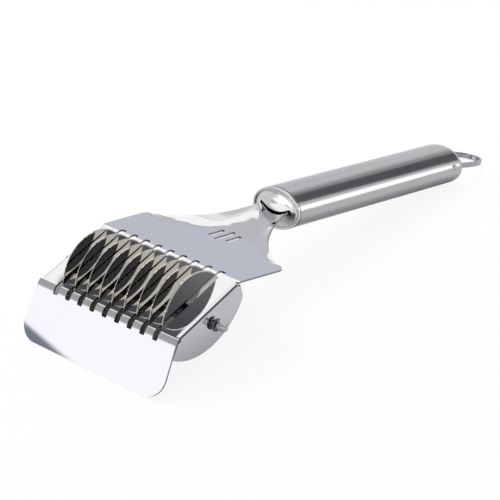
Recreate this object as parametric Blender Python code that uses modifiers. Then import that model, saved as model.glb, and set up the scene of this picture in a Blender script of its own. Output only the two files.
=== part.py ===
"""Hand-held roller cutter for noodles and fresh pasta, built from its real pieces.

A slotted sheet-steel frame carries a roller of nine disc blades on an axle.
The frame's neck enters the slotted cap of a tube handle with a hanging loop.
Everything is modelled in the bed's own frame (x towards the handle, y to the left,
z out of the bed) and then laid on its back, as the tool rests on a table.
Metres, +Z up.
"""
import math

import bmesh
import bpy
from mathutils import Matrix, Vector
from mathutils.geometry import interpolate_bezier

# Clearances
seat_gap = 0.0003
running_gap = 0.0005
cut_overrun = 0.002

# Blades and roller
blade_count = 9
blade_pitch = 0.0063
blade_radius = 0.0170
blade_thickness = 0.0008
blade_rise_share = 0.58235
blade_bevel_width = 0.0022
blade_edge_thickness = 0.0002
roller_shift = 0.00045
axle_radius = 0.0015
axle_end_round = 0.0008
axle_standout = 0.0058
spacer_radius = 0.0040
clip_radius = 0.0026
clip_thickness = 0.0006
clip_groove_depth = 0.0004
clip_standoff = 0.0010
clip_mouth_angle = math.radians(70)

# Sheet-steel frame
sheet = 0.0008
apron_angle = math.radians(45)
apron_length = 0.0231
apron_flare = 0.0008
apron_corner_radius = 0.0078
apron_blade_gap = 0.0006
front_fold_radius = 0.0025
rear_fold_radius = 0.0030
rear_bed_margin = 0.00185
bed_side_margin = 0.0098
slot_width = 0.0024
slot_corner_radius = 0.0006
slot_reach_apron = 0.0031
slot_reach_shoulder = 0.0021
ear_fold_radius = 0.0016
ear_fold_relief = 0.0008
ear_below_axle = 0.0083
ear_arc_radius = 0.0275
ear_arc_lead = 0.0026
ear_corner_radius = 0.0040
ear_end_inset = 0.0004

# Shoulder, wings and neck
shoulder_angle = math.radians(26.35)
wing_flare = 0.0008
wing_length = 0.0253
wing_corner_radius = 0.0030
wing_handle_across = 0.0113
wing_handle_along = 0.0042
neck_length = 0.0620
neck_handle_along = 0.0180
neck_handle_across = 0.0020
neck_rise = 0.0044
neck_below_axis = 0.0015
neck_cup = 0.0023
flange_start = 0.0232
rise_start = 0.0340
tang_length = 0.0100
flange_open_share = 0.52
flange_shut_share = 0.10
crease_open_share = 0.05
crease_shut_share = 0.55

# Decorative slots in the shoulder
vent_width = 0.0018
vent_pitch = 0.0043
vent_start = 0.0262
vent_middle_length = 0.0122
vent_side_length = 0.0092
vent_side_setback = 0.0016

# Oval tube handle
handle_half_width = 0.01190
handle_half_height = 0.00848
tube_wall = 0.0006
tube_length = 0.1173
tail_length = 0.0070
tail_power = 2.2
tang_side_margin = 0.0049
cap_wall = 0.0009
cap_dome_height = 0.0016
cap_dome_power = 2
cap_face_inset = 0.0018
cap_groove_depth = 0.0004
cap_bead_lead = 0.0007
cap_bead_round = 0.0005
cap_bead_width = 0.0011
cap_seam_width = 0.0003
cap_seam_depth = 0.0006
cap_skirt_length = 0.0080
cap_slot_head_gap = 0.0013
cap_slot_end_gap = 0.0004

# Hanging loop and its rivet
loop_strip_width = 0.0024
loop_strip_thickness = 0.0013
loop_half_width = 0.0091
loop_root_half_width = 0.0070
loop_leg_margin = 0.0032
loop_eye_width = 0.0046
loop_eye_length = 0.0022
loop_eye_taper = 0.0012
loop_leg_length = 0.0080
loop_bow_length = 0.0280
loop_bow_power = 2.4
loop_droop = math.radians(7.1)
rivet_radius = 0.0010
rivet_setback = 0.0042
rivet_rise = 0.0023
rivet_crown = 0.0002

# Fineness of the round forms
blade_segments = 40
small_segments = 20
oval_segments = 44
plate_columns = 18
fold_steps = 5
corner_steps = 4
edge_curve_steps = 12
ear_arc_steps = 7
dome_steps = 6
loop_steps = 14

# Places worked out from the sizes above
bed_half_width = (blade_count - 1) / 2 * blade_pitch + bed_side_margin
axle_drop = blade_radius * (1 - blade_rise_share)
axle_x = ((blade_radius + apron_blade_gap + sheet - axle_drop * math.cos(apron_angle))
          / math.sin(apron_angle))
blade_exit = axle_x + math.sqrt(blade_radius ** 2 - axle_drop ** 2)
bed_length = blade_exit + rear_bed_margin
bore_radius = axle_radius + seat_gap
ear_depth = axle_drop + ear_below_axle
axis_height = neck_rise + neck_below_axis
tang_half_width = handle_half_width - tang_side_margin
cap_front = neck_length + seat_gap
cap_face = cap_front + cap_dome_height
bead_start = cap_face - cap_bead_lead
bead_end = bead_start + cap_bead_width
cap_seat = bead_end + cap_seam_width
tube_front = cap_seat + seat_gap
tube_back = tube_front + tube_length
rivet_place = tube_back - rivet_setback
rivet_half_span = handle_half_width * math.sqrt(1 - (rivet_rise / handle_half_height) ** 2)

apron_way = Vector((-math.cos(apron_angle), 0, -math.sin(apron_angle)))
apron_normal = Vector((-math.sin(apron_angle), 0, math.cos(apron_angle)))
bed_way = Vector((1, 0, 0))
bed_normal = Vector((0, 0, 1))
shoulder_way = Vector((math.cos(shoulder_angle), 0, -math.sin(shoulder_angle)))
shoulder_normal = Vector((math.sin(shoulder_angle), 0, math.cos(shoulder_angle)))
rear_corner = Vector((bed_length, 0, 0))
axle_centre = Vector((axle_x, 0, -axle_drop))


def clear_scene():
    for old in list(bpy.data.objects):
        bpy.data.objects.remove(old, do_unlink=True)


def make_collection(name):
    collection = bpy.data.collections.new(name)
    bpy.context.scene.collection.children.link(collection)
    return collection


def steel(name, colour, roughness):
    """Stainless steel, told apart by its colour and how bright its polish is."""
    material = bpy.data.materials.new(name)
    material.use_nodes = True
    shader = material.node_tree.nodes["Principled BSDF"]
    shader.inputs["Base Color"].default_value = (*colour, 1)
    shader.inputs["Roughness"].default_value = roughness
    shader.inputs["Metallic"].default_value = 1
    return material


def place(name, mesh, collection, parent, material=None):
    thing = bpy.data.objects.new(name, mesh)
    collection.objects.link(thing)
    thing.parent = parent
    if material:
        mesh.materials.clear()
        mesh.materials.append(material)
    return thing


def as_cutter(thing):
    thing.hide_render = True
    thing.display_type = "WIRE"
    return thing


def cut(target, cutter):
    step = target.modifiers.new("cut_" + cutter.name, "BOOLEAN")
    step.operation = "DIFFERENCE"
    step.solver = "EXACT"
    step.object = cutter


def smooth_round(mesh, angle=math.radians(35)):
    mesh.shade_smooth()
    mesh.set_sharp_from_angle(angle=angle)


def finish_mesh(bm, name):
    mesh = bpy.data.meshes.new(name)
    bm.to_mesh(mesh)
    bm.free()
    return mesh


def turning_profile(name, profile, closed):
    """Edges of a (radius, height) profile to turn about local Z, its outer side downwards."""
    bm = bmesh.new()
    points = [bm.verts.new((radius, 0, height)) for radius, height in profile]
    pairs = zip(points, points[1:] + points[:1]) if closed else zip(points, points[1:])
    for first, second in pairs:
        bm.edges.new((first, second))
    return finish_mesh(bm, name)


def spin_modifier(thing, segments):
    screw = thing.modifiers.new("turn", "SCREW")
    screw.steps = segments
    screw.render_steps = segments
    screw.use_merge_vertices = True
    screw.merge_threshold = 0.00001
    screw.use_smooth_shade = True


def turned_piece(name, profile, segments, collection, parent, material, closed=False):
    mesh = turning_profile(name, profile, closed)
    thing = place(name, mesh, collection, parent, material)
    spin_modifier(thing, segments)
    return thing


def extruded_outline(name, outline, thickness):
    """A flat outline in x and y, drawn as a filled 2D curve and made a closed mesh."""
    curve = bpy.data.curves.new(name, "CURVE")
    curve.dimensions = "2D"
    curve.fill_mode = "BOTH"
    curve.extrude = thickness / 2
    line = curve.splines.new("POLY")
    line.points.add(len(outline) - 1)
    for point, (x, y) in zip(line.points, outline):
        point.co = (x, y, 0, 1)
    line.use_cyclic_u = True
    guide = bpy.data.objects.new(name, curve)
    bpy.context.scene.collection.objects.link(guide)
    graph = bpy.context.evaluated_depsgraph_get()
    mesh = bpy.data.meshes.new_from_object(guide.evaluated_get(graph))
    bpy.data.objects.remove(guide)
    bm = bmesh.new()
    bm.from_mesh(mesh)
    bmesh.ops.remove_doubles(bm, verts=bm.verts, dist=0.00001)
    bmesh.ops.recalc_face_normals(bm, faces=bm.faces)
    bm.to_mesh(mesh)
    bm.free()
    return mesh


def arc(centre, radius, start, end, steps):
    """Points (across, along) of an arc, from one angle to another."""
    turns = [start + (end - start) * step / steps for step in range(steps + 1)]
    return [(centre[0] + radius * math.cos(turn), centre[1] + radius * math.sin(turn))
            for turn in turns]


def ramp(value, start, end):
    share = min(max((value - start) / (end - start), 0), 1)
    return share * share * (3 - 2 * share)


def blend(first, second, share):
    return first + (second - first) * share


def neck_lift(along, across_share):
    """Height of the sheet above the shoulder's plane: a rising neck between turned-up edges."""
    rise = neck_rise * ramp(along, rise_start, neck_length)
    climb = min(max((along - flange_start) / (neck_length - flange_start), 0), 1)
    edge = (neck_rise + neck_cup) * climb
    shut = ramp(along, flange_start, neck_length)
    crease = blend(flange_open_share, flange_shut_share, shut)
    softness = blend(crease_open_share, crease_shut_share, shut)

    def bent(share):
        return math.hypot(share - crease, softness) + share - crease

    flange = (bent(abs(across_share)) - bent(0)) / (bent(1) - bent(0))
    return rise + (edge - rise) * flange


def fold_rows(corner, way_in, way_out, radius, half_width):
    """Rows round a fold whose outer face has this radius, from one leg to the next."""
    angle = way_in.angle(way_out)
    turn_axis = way_in.cross(way_out).normalized()
    setback = radius * math.tan(angle / 2)
    start = corner - way_in * setback
    normal = Vector((-way_in.z, 0, way_in.x))
    centre = start - normal * radius
    rows = []
    for step in range(fold_steps + 1):
        turned_normal = Matrix.Rotation(angle * step / fold_steps, 3, turn_axis) @ normal
        rows.append((centre + turned_normal * radius, turned_normal, half_width, 0))
    return rows


def apron_rows():
    """Rows of the apron from its lip, with rounded corners, up to the front fold."""
    straight = apron_length - apron_corner_radius
    lip_half_width = bed_half_width + apron_flare
    rows = []
    for turn in range(corner_steps + 1):
        angle = math.pi / 2 * turn / corner_steps
        distance = straight + apron_corner_radius * math.cos(angle)
        half_width = lip_half_width - apron_corner_radius * (1 - math.sin(angle))
        rows.append((apron_way * distance, apron_normal, half_width, 0))
    return rows


def bed_stations():
    """Places along the bed where its ears are folded down, one for each ear column."""
    first = front_fold_radius * math.tan(apron_angle / 2) + ear_fold_relief
    last = bed_length - rear_fold_radius * math.tan(shoulder_angle / 2) - ear_fold_relief
    count = len(ear_outline()) - 1
    return [blend(first, last, step / count) for step in range(count + 1)]


def shoulder_rows():
    """Rows from the rear fold over the wings and neck to the end of the tang."""
    wing_half_width = bed_half_width + wing_flare
    rows = []

    def add(along, half_width):
        rows.append((rear_corner + shoulder_way * along, shoulder_normal, half_width, along))

    corner_centre = wing_length - wing_corner_radius
    add(corner_centre / 2, bed_half_width + wing_flare / 2)
    for turn in range(corner_steps + 1):
        angle = math.pi / 2 * turn / corner_steps
        add(corner_centre + wing_corner_radius * math.sin(angle),
            wing_half_width - wing_corner_radius * (1 - math.cos(angle)))
    tip = Vector((wing_length, wing_half_width - wing_corner_radius, 0))
    tip_handle = tip + Vector((wing_handle_along, -wing_handle_across, 0))
    neck = Vector((neck_length, tang_half_width, 0))
    neck_handle = neck + Vector((-neck_handle_along, neck_handle_across, 0))
    edge = interpolate_bezier(tip, tip_handle, neck_handle, neck, edge_curve_steps + 1)
    for point in edge[1:]:
        add(point.x, point.y)
    add(neck_length + tang_length, tang_half_width)
    return rows


def plate_rows():
    """All rows of the sheet's outer face: place, outward normal, half width, way down the neck."""
    rows = apron_rows()
    rows += fold_rows(Vector((0, 0, 0)), -apron_way, bed_way, front_fold_radius, bed_half_width)
    inner_half_width = bed_half_width - ear_fold_radius
    for station in bed_stations():
        rows.append((bed_way * station, bed_normal, inner_half_width, 0))
    rows += fold_rows(rear_corner, bed_way, shoulder_way, rear_fold_radius, bed_half_width)
    rows += shoulder_rows()
    return rows


def ear_outline():
    """Outline (x, z) of an ear's free edge, from the apron's back round to its rear end."""
    centre = Vector((axle_x - ear_arc_lead, ear_arc_radius - ear_depth))
    along_apron = Vector((-math.cos(apron_angle), -math.sin(apron_angle)))
    back_of_apron = Vector(((sheet + running_gap) / math.sin(apron_angle), 0))
    offset = back_of_apron - centre
    reach = offset.dot(along_apron)
    to_arc = -reach + math.sqrt(reach ** 2 - offset.length_squared + ear_arc_radius ** 2)
    top = back_of_apron + along_apron * (ear_fold_radius / math.sin(apron_angle))
    front = back_of_apron + along_apron * to_arc
    back = bed_length - ear_end_inset
    inner_radius = ear_arc_radius - ear_corner_radius
    corner_x = back - ear_corner_radius
    corner = Vector((corner_x, centre.y - math.sqrt(inner_radius ** 2 - (corner_x - centre.x) ** 2)))
    start = math.atan2(front.y - centre.y, front.x - centre.x)
    end = math.atan2(corner.y - centre.y, corner.x - centre.x)
    points = [tuple(top)]
    points += arc(centre, ear_arc_radius, start, end, ear_arc_steps)
    points += arc(corner, ear_corner_radius, end, 0, corner_steps)[1:]
    points.append((back, -ear_fold_radius))
    return points


def loft(bm, rows, columns):
    """Stretch one surface over the rows and return its vertices, row by row."""
    grid = []
    for origin, normal, half_width, along in rows:
        line = []
        for column in range(columns + 1):
            share = 2 * column / columns - 1
            lift = neck_lift(along, share)
            side = Vector((0, half_width * share, 0))
            line.append(bm.verts.new(origin + normal * lift + side))
        grid.append(line)
    for line, further in zip(grid, grid[1:]):
        for column in range(columns):
            bm.faces.new((line[column], further[column], further[column + 1], line[column + 1]))
    return grid


def fold_ear(bm, edge_vertices, side):
    """Fold an ear down along one side of the bed and draw its edge out to the outline."""
    edges = [bm.edges.get((first, second)) for first, second
             in zip(edge_vertices, edge_vertices[1:])]
    hinge = Vector((0, side * (bed_half_width - ear_fold_radius), -ear_fold_radius))
    folded = bmesh.ops.spin(bm, geom=edges, cent=hinge, axis=(side, 0, 0),
                            angle=-math.pi / 2, steps=corner_steps, use_duplicate=False)
    last_edges = [item for item in folded["geom_last"] if isinstance(item, bmesh.types.BMEdge)]
    drawn = bmesh.ops.extrude_edge_only(bm, edges=last_edges)
    new_vertices = [item for item in drawn["geom"] if isinstance(item, bmesh.types.BMVert)]
    new_vertices.sort(key=lambda vertex: vertex.co.x)
    for vertex, (x, z) in zip(new_vertices, ear_outline()):
        vertex.co = (x, side * bed_half_width, z)


def frame_mesh():
    """The whole frame's outer face: apron, bed with both ears, shoulder, neck and tang."""
    bm = bmesh.new()
    grid = loft(bm, plate_rows(), plate_columns)
    first_bed_row = len(apron_rows()) + fold_steps + 1
    bed_rows = grid[first_bed_row:first_bed_row + len(bed_stations())]
    fold_ear(bm, [line[0] for line in bed_rows], -1)
    fold_ear(bm, [line[-1] for line in bed_rows], 1)
    bmesh.ops.recalc_face_normals(bm, faces=bm.faces)
    bed_face = min(bm.faces, key=lambda face: (face.calc_center_median()
                                               - bed_way * axle_x).length)
    if bed_face.normal.z < 0:
        bmesh.ops.reverse_faces(bm, faces=bm.faces)
    mesh = finish_mesh(bm, "slotted_frame")
    smooth_round(mesh)
    return mesh


def thicken(thing, thickness, offset=-1):
    wall = thing.modifiers.new("sheet_thickness", "SOLIDIFY")
    wall.thickness = thickness
    wall.offset = offset
    wall.use_even_offset = True


def offset_path(points, normals, distance):
    """Shift a bent path in x and z sideways, mitred where its legs meet."""
    shifted = [points[0] + normals[0] * distance]
    for corner, before, after in zip(points[1:-1], normals, normals[1:]):
        mitre = (before + after) / (1 + before.dot(after))
        shifted.append(corner + mitre * distance)
    shifted.append(points[-1] + normals[-1] * distance)
    return shifted


def slot_cutter_mesh():
    """One bent bar for each blade's slot, rounded where the slot ends."""
    front = apron_way * slot_reach_apron
    back = rear_corner + shoulder_way * slot_reach_shoulder
    path = [front, Vector((0, 0, 0)), rear_corner, back]
    normals = [apron_normal, bed_normal, shoulder_normal]
    outside = offset_path(path, normals, cut_overrun)
    inside = offset_path(path, normals, -cut_overrun)
    outline = [(point.x, point.z) for point in outside + inside[::-1]]
    mesh = extruded_outline("blade_slot", outline, slot_width)
    bm = bmesh.new()
    bm.from_mesh(mesh)
    ends = [min(bm.faces, key=lambda face: (face.calc_center_median()
                                            - Vector((end.x, end.z, 0))).length)
            for end in (front, back)]
    upright = [edge for face in ends for edge in face.edges
               if abs((edge.verts[0].co - edge.verts[1].co).z) < slot_width / 2]
    bmesh.ops.bevel(bm, geom=upright, offset=slot_corner_radius, offset_type="OFFSET",
                    affect="EDGES", segments=2, profile=0.5, material=-1)
    bmesh.ops.rotate(bm, verts=bm.verts, cent=(0, 0, 0),
                     matrix=Matrix.Rotation(math.pi / 2, 3, "X"))
    first = bm.verts[:] + bm.edges[:] + bm.faces[:]
    middle = (blade_count - 1) / 2
    for place_number in range(1, blade_count):
        copy = bmesh.ops.duplicate(bm, geom=first)
        moved = [item for item in copy["geom"] if isinstance(item, bmesh.types.BMVert)]
        bmesh.ops.translate(bm, verts=moved, vec=(0, place_number * blade_pitch, 0))
    bmesh.ops.translate(bm, verts=bm.verts, vec=(0, -middle * blade_pitch, 0))
    bm.to_mesh(mesh)
    bm.free()
    return mesh


def vent_cutter_mesh():
    """Three round-ended bars for the decorative slots, in the shoulder's own plane."""
    bm = bmesh.new()
    radius = vent_width / 2
    height = neck_rise * 2 + cut_overrun * 2
    for number in (-1, 0, 1):
        length = vent_middle_length if number == 0 else vent_side_length
        start = vent_start + (vent_side_setback if number else 0)
        ends = (start + radius, start + length - radius)
        outline = arc((ends[1], 0), radius, -math.pi / 2, math.pi / 2, corner_steps)
        outline += arc((ends[0], 0), radius, math.pi / 2, math.pi * 3 / 2, corner_steps)
        bar = extruded_outline("vent", outline, height)
        bar.transform(Matrix.Translation((0, number * vent_pitch, 0)))
        bm.from_mesh(bar)
    return finish_mesh(bm, "vent_cutters")


def build_frame(collection, cutters, stand, shoulder, material):
    frame = place("slotted_frame", frame_mesh(), collection, stand, material)
    thicken(frame, sheet)
    slots = as_cutter(place("slot_cutters", slot_cutter_mesh(), cutters, stand))
    cut(frame, slots)
    vents = as_cutter(place("vent_cutters", vent_cutter_mesh(), cutters, shoulder))
    cut(frame, vents)
    bore = bmesh.new()
    bmesh.ops.create_cone(bore, cap_ends=True, segments=small_segments,
                          radius1=bore_radius, radius2=bore_radius,
                          depth=2 * (bed_half_width + cut_overrun),
                          matrix=Matrix.Rotation(math.pi / 2, 4, "X"))
    holes = as_cutter(place("ear_bore_cutter", finish_mesh(bore, "ear_bore"), cutters, stand))
    holes.location = axle_centre
    cut(frame, holes)


def blade_profile():
    """A disc with a bore and a ground bevel on both sides of its rim."""
    half = blade_thickness / 2
    edge = blade_edge_thickness / 2
    bevel_start = blade_radius - blade_bevel_width
    return [(bevel_start, half), (blade_radius, edge), (blade_radius, -edge),
            (bevel_start, -half), (bore_radius, -half), (bore_radius, half)]


def sleeve_profile(outer, inner, length):
    return [(outer, length / 2), (outer, -length / 2), (inner, -length / 2), (inner, length / 2)]


def blade_place(number):
    """Place across the roller of a blade; number 1 is the leftmost."""
    return ((blade_count + 1) / 2 - number) * blade_pitch + roller_shift


def groove_place():
    """Distance of each clip's middle from the middle of the axle."""
    return bed_half_width + clip_standoff + clip_thickness / 2


def axle_profile():
    """The axle's outer side from its left end down to its right end, with two clip grooves."""
    half_length = bed_half_width + axle_standout
    core = axle_radius - clip_groove_depth
    half_groove = clip_thickness / 2 + seat_gap
    shoulder_place = half_length - axle_end_round
    tip_radius = axle_radius - axle_end_round
    side = [(0, half_length), (tip_radius, half_length), (axle_radius, shoulder_place),
            (axle_radius, groove_place() + half_groove), (core, groove_place() + half_groove),
            (core, groove_place() - half_groove), (axle_radius, groove_place() - half_groove)]
    return side + [(radius, -height) for radius, height in reversed(side)]


def clip_outline():
    """An open snap ring that grips the floor of the axle's groove."""
    inner = axle_radius - clip_groove_depth + seat_gap
    start = clip_mouth_angle / 2
    end = 2 * math.pi - start
    steps = small_segments - corner_steps
    return (arc((0, 0), clip_radius, start, end, steps)
            + arc((0, 0), inner, end, start, steps))


def build_roller(collection, roller, steel_blade, steel_axle, steel_clip):
    """Everything that turns: nine blades, their spacers, the axle and its two clips."""
    blade_mesh = turning_profile("blade_disc", blade_profile(), True)
    for number in range(1, blade_count + 1):
        blade = place("blade_%d" % number, blade_mesh, collection, roller, steel_blade)
        blade.location.z = blade_place(number)
        spin_modifier(blade, blade_segments)
    spacer_length = blade_pitch - blade_thickness - 2 * seat_gap
    profile = sleeve_profile(spacer_radius, bore_radius, spacer_length)
    spacer_mesh = turning_profile("blade_spacer", profile, True)
    for number in range(1, blade_count):
        spacer = place("spacer_%d" % number, spacer_mesh, collection, roller, steel_axle)
        spacer.location.z = blade_place(number) - blade_pitch / 2
        spin_modifier(spacer, small_segments)
    for name, number, side in (("left_end_spacer", 1, 1), ("right_end_spacer", blade_count, -1)):
        inside = side * blade_place(number) + blade_thickness / 2 + seat_gap
        outside = bed_half_width - sheet - running_gap
        profile = sleeve_profile(spacer_radius, bore_radius, outside - inside)
        piece = turned_piece(name, profile, small_segments, collection, roller, steel_axle, True)
        piece.location.z = side * (outside + inside) / 2
    turned_piece("axle_rod", axle_profile(), small_segments, collection, roller, steel_axle)
    clip_mesh = extruded_outline("snap_ring", clip_outline(), clip_thickness)
    for name, side in (("left_retaining_clip", 1), ("right_retaining_clip", -1)):
        clip = place(name, clip_mesh, collection, roller, steel_clip)
        clip.location.z = side * groove_place()


def inset_ring(along, inset):
    """One oval ring of the handle: place along its axis, half width and half height."""
    return along, handle_half_width - inset, handle_half_height - inset


def dome_rings(foot, length, power):
    """Rings of a dome that shrink from its foot to its tip; a negative length points forwards."""
    along, half_width, half_height = foot
    rings = []
    for step in range(dome_steps + 1):
        reach = math.sin(math.pi / 2 * step / dome_steps)
        share = (1 - reach ** power) ** (1 / power)
        rings.append((along + length * reach, half_width * share, half_height * share))
    return rings


def oval_solid(name, rings):
    """A closed skin over a chain of oval rings whose first and last ring are single points."""
    bm = bmesh.new()
    turns = [2 * math.pi * step / oval_segments for step in range(oval_segments)]
    first = bm.verts.new((rings[0][0], 0, 0))
    last = bm.verts.new((rings[-1][0], 0, 0))
    grid = [[bm.verts.new((along, half_width * math.cos(turn), half_height * math.sin(turn)))
             for turn in turns] for along, half_width, half_height in rings[1:-1]]
    for step in range(oval_segments):
        onward = (step + 1) % oval_segments
        bm.faces.new((first, grid[0][step], grid[0][onward]))
        for line, further in zip(grid, grid[1:]):
            bm.faces.new((line[step], further[step], further[onward], line[onward]))
        bm.faces.new((last, grid[-1][onward], grid[-1][step]))
    bmesh.ops.recalc_face_normals(bm, faces=bm.faces)
    mesh = finish_mesh(bm, name)
    smooth_round(mesh)
    return mesh


def cap_rings():
    """The front cap: inside its dome and skirt, then forwards over seam, bead and dome outside."""
    skirt_inset = tube_wall + seat_gap
    skirt_end = tube_front + cap_skirt_length
    inner_inset = skirt_inset + cap_wall
    inner_foot = inset_ring(cap_face + cap_wall, inner_inset)
    side = [(skirt_end, inner_inset), (skirt_end, skirt_inset), (cap_seat, skirt_inset),
            (cap_seat, cap_seam_depth), (bead_end, cap_seam_depth), (bead_end, 0),
            (bead_start + cap_bead_round, 0), (bead_start, cap_bead_round),
            (bead_start, cap_face_inset - cap_bead_round),
            (cap_face + cap_groove_depth, cap_face_inset - cap_groove_depth / 2)]
    outside = dome_rings(inset_ring(cap_face, cap_face_inset), -cap_dome_height, cap_dome_power)
    inside = dome_rings(inner_foot, -cap_dome_height, cap_dome_power)
    return (inside[::-1]
            + [inset_ring(along, inset) for along, inset in side] + outside)


def crescent_cutter_mesh():
    """The tang's own bent section with room round it, to cut the cap's crescent slot."""
    start = cap_front - cut_overrun
    end = tube_front + cap_skirt_length / 2
    half_width = tang_half_width + cap_slot_end_gap
    bm = bmesh.new()
    grid = []
    for along in (start, end):
        line = []
        for column in range(plate_columns + 1):
            share = 2 * column / plate_columns - 1
            height = neck_lift(neck_length, share) - axis_height + cap_slot_head_gap
            line.append(bm.verts.new((along, half_width * share, height)))
        grid.append(line)
    for column in range(plate_columns):
        bm.faces.new((grid[0][column], grid[1][column],
                      grid[1][column + 1], grid[0][column + 1]))
    bm.normal_update()
    if bm.faces[:][0].normal.z < 0:
        bmesh.ops.reverse_faces(bm, faces=bm.faces)
    return finish_mesh(bm, "crescent_cutter")


def tube_rings():
    """The tube's wall from the inside of its tail to the open front and back over the outside."""
    inside = dome_rings(inset_ring(tube_back, tube_wall), tail_length - tube_wall, tail_power)
    outside = dome_rings(inset_ring(tube_back, 0), tail_length, tail_power)
    front = [inset_ring(tube_front, tube_wall), inset_ring(tube_front, 0)]
    return inside[::-1] + front + outside


def loop_path():
    """Middle line (along, across) of the loop, from the rivet: two legs and a blunt bow."""
    turns = [math.pi * (step / loop_steps - 0.5) for step in range(loop_steps + 1)]
    bow = []
    for turn in turns:
        reach = abs(math.cos(turn)) ** (2 / loop_bow_power)
        across = math.copysign(abs(math.sin(turn)) ** (2 / loop_bow_power), turn)
        bow.append(Vector((loop_leg_length + loop_bow_length * reach, loop_half_width * across)))
    leg = [Vector((along, loop_root_half_width)) for along
           in (-loop_leg_margin, loop_eye_length, loop_eye_length + loop_eye_taper)]
    mirrored = [Vector((point.x, -point.y)) for point in leg]
    return mirrored + bow + leg[::-1]


def loop_outline(thickness):
    """The strip's edge seen from above: its middle line shifted out and in by half of this."""
    path = loop_path()
    outer, inner = [], []
    for number, point in enumerate(path):
        before = path[max(number - 1, 0)]
        after = path[min(number + 1, len(path) - 1)]
        way = (after - before).normalized()
        outward = Vector((way.y, -way.x)) * (thickness / 2)
        outer.append(tuple(point + outward))
        inner.append(tuple(point - outward))
    return outer + inner[::-1]


def loop_mesh(name, room):
    """The bent strip with this much room round it, widened where the rivet goes through."""
    outline = loop_outline(loop_strip_thickness + 2 * room)
    mesh = extruded_outline(name, outline, loop_strip_width + 2 * room)
    eye_share = loop_eye_width / loop_strip_width
    for vertex in mesh.vertices:
        taper = (vertex.co.x - loop_eye_length) / loop_eye_taper
        vertex.co.z *= blend(eye_share, 1, min(max(taper, 0), 1))
    return mesh


def rod_mesh(name, radius, length):
    """A plain round bar along y, used to bore the holes for the rivet."""
    bm = bmesh.new()
    bmesh.ops.create_cone(bm, cap_ends=True, segments=small_segments, radius1=radius,
                          radius2=radius, depth=length, matrix=Matrix.Rotation(math.pi / 2, 4, "X"))
    return finish_mesh(bm, name)


def build_handle(collection, cutters, handle, loop_plane, bright, brushed):
    """Cap and tube along the handle's own axis, loop and rivet in the loop's drooping plane."""
    cap = place("handle_front_cap", oval_solid("handle_front_cap", cap_rings()),
                collection, handle, bright)
    crescent = as_cutter(place("crescent_cutter", crescent_cutter_mesh(), cutters, handle))
    thicken(crescent, sheet + cap_slot_head_gap + seat_gap)
    cut(cap, crescent)

    tube = place("handle_tube", oval_solid("handle_tube", tube_rings()),
                 collection, handle, brushed)
    room = loop_mesh("loop_room_cutter", seat_gap)
    cut(tube, as_cutter(place("loop_room_cutter", room, cutters, loop_plane)))
    rivet_hole = rod_mesh("rivet_hole_cutter", rivet_radius + seat_gap,
                          2 * (handle_half_width + cut_overrun))
    hole = as_cutter(place("rivet_hole_cutter", rivet_hole, cutters, loop_plane))
    cut(tube, hole)

    loop = place("hanging_loop", loop_mesh("hanging_loop", 0), collection, loop_plane, bright)
    cut(loop, hole)

    half_length = rivet_half_span + rivet_crown
    tip = rivet_radius / 2
    side = [(0, half_length), (tip, half_length - rivet_crown / 2),
            (rivet_radius, half_length - rivet_crown)]
    profile = side + [(radius, -height) for radius, height in reversed(side)]
    rivet = turned_piece("loop_rivet", profile, small_segments, collection, loop_plane, bright)
    rivet.rotation_euler = (math.pi / 2, 0, 0)


def make_guide(name, collection, parent=None, location=(0, 0, 0), rotation=(0, 0, 0)):
    guide = bpy.data.objects.new(name, None)
    collection.objects.link(guide)
    guide.parent = parent
    guide.location = location
    guide.rotation_euler = rotation
    return guide


def rest_tilt():
    """Angle that lays the apron's lip and the tube's tail on one level."""
    lip = apron_way * apron_length - apron_normal * sheet
    slopes = []
    for along, _, half_height in tube_rings():
        low = rear_corner + shoulder_way * along + shoulder_normal * (axis_height - half_height)
        slopes.append(math.atan2(low.z - lip.z, low.x - lip.x))
    return -min(slopes)


def stand_on_table(stand, pieces):
    """Move the whole tool so that the middle of its box's underside is the origin."""
    graph = bpy.context.evaluated_depsgraph_get()
    corners = []
    for piece in pieces:
        solid = piece.evaluated_get(graph)
        mesh = solid.to_mesh()
        corners += [solid.matrix_world @ vertex.co for vertex in mesh.vertices]
        solid.to_mesh_clear()
    low = Vector([min(corner[axis] for corner in corners) for axis in range(3)])
    high = Vector([max(corner[axis] for corner in corners) for axis in range(3)])
    middle = (low + high) / 2
    stand.location -= Vector((middle.x, middle.y, low.z))


def main():
    clear_scene()
    tool = make_collection("noodle_roller_cutter")
    cutters = make_collection("cutters")
    bright = steel("polished_sheet_steel", (0.78, 0.79, 0.82), 0.12)
    brushed = steel("brushed_tube_steel", (0.62, 0.62, 0.63), 0.34)
    blade_steel = steel("ground_blade_steel", (0.66, 0.64, 0.60), 0.22)
    axle_steel = steel("axle_steel", (0.60, 0.60, 0.62), 0.25)
    clip_steel = steel("spring_clip_steel", (0.25, 0.25, 0.27), 0.35)

    stand = make_guide("lying_on_its_back", tool, rotation=(0, -rest_tilt(), 0))
    shoulder = make_guide("shoulder_plane", tool, stand, rear_corner, (0, shoulder_angle, 0))
    axis_start = rear_corner + shoulder_normal * axis_height
    handle = make_guide("handle_axis", tool, stand, axis_start, (0, shoulder_angle, 0))
    loop_start = (rivet_place, 0, rivet_rise)
    loop_plane = make_guide("loop_plane", tool, handle, loop_start, (0, loop_droop, 0))
    roller = make_guide("roller_axis", tool, stand, axle_centre, (-math.pi / 2, 0, 0))

    build_frame(tool, cutters, stand, shoulder, bright)
    build_roller(tool, roller, blade_steel, axle_steel, clip_steel)
    build_handle(tool, cutters, handle, loop_plane, bright, brushed)
    bpy.context.view_layer.update()
    stand_on_table(stand, [thing for thing in tool.objects if thing.type == "MESH"])


main()
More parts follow.
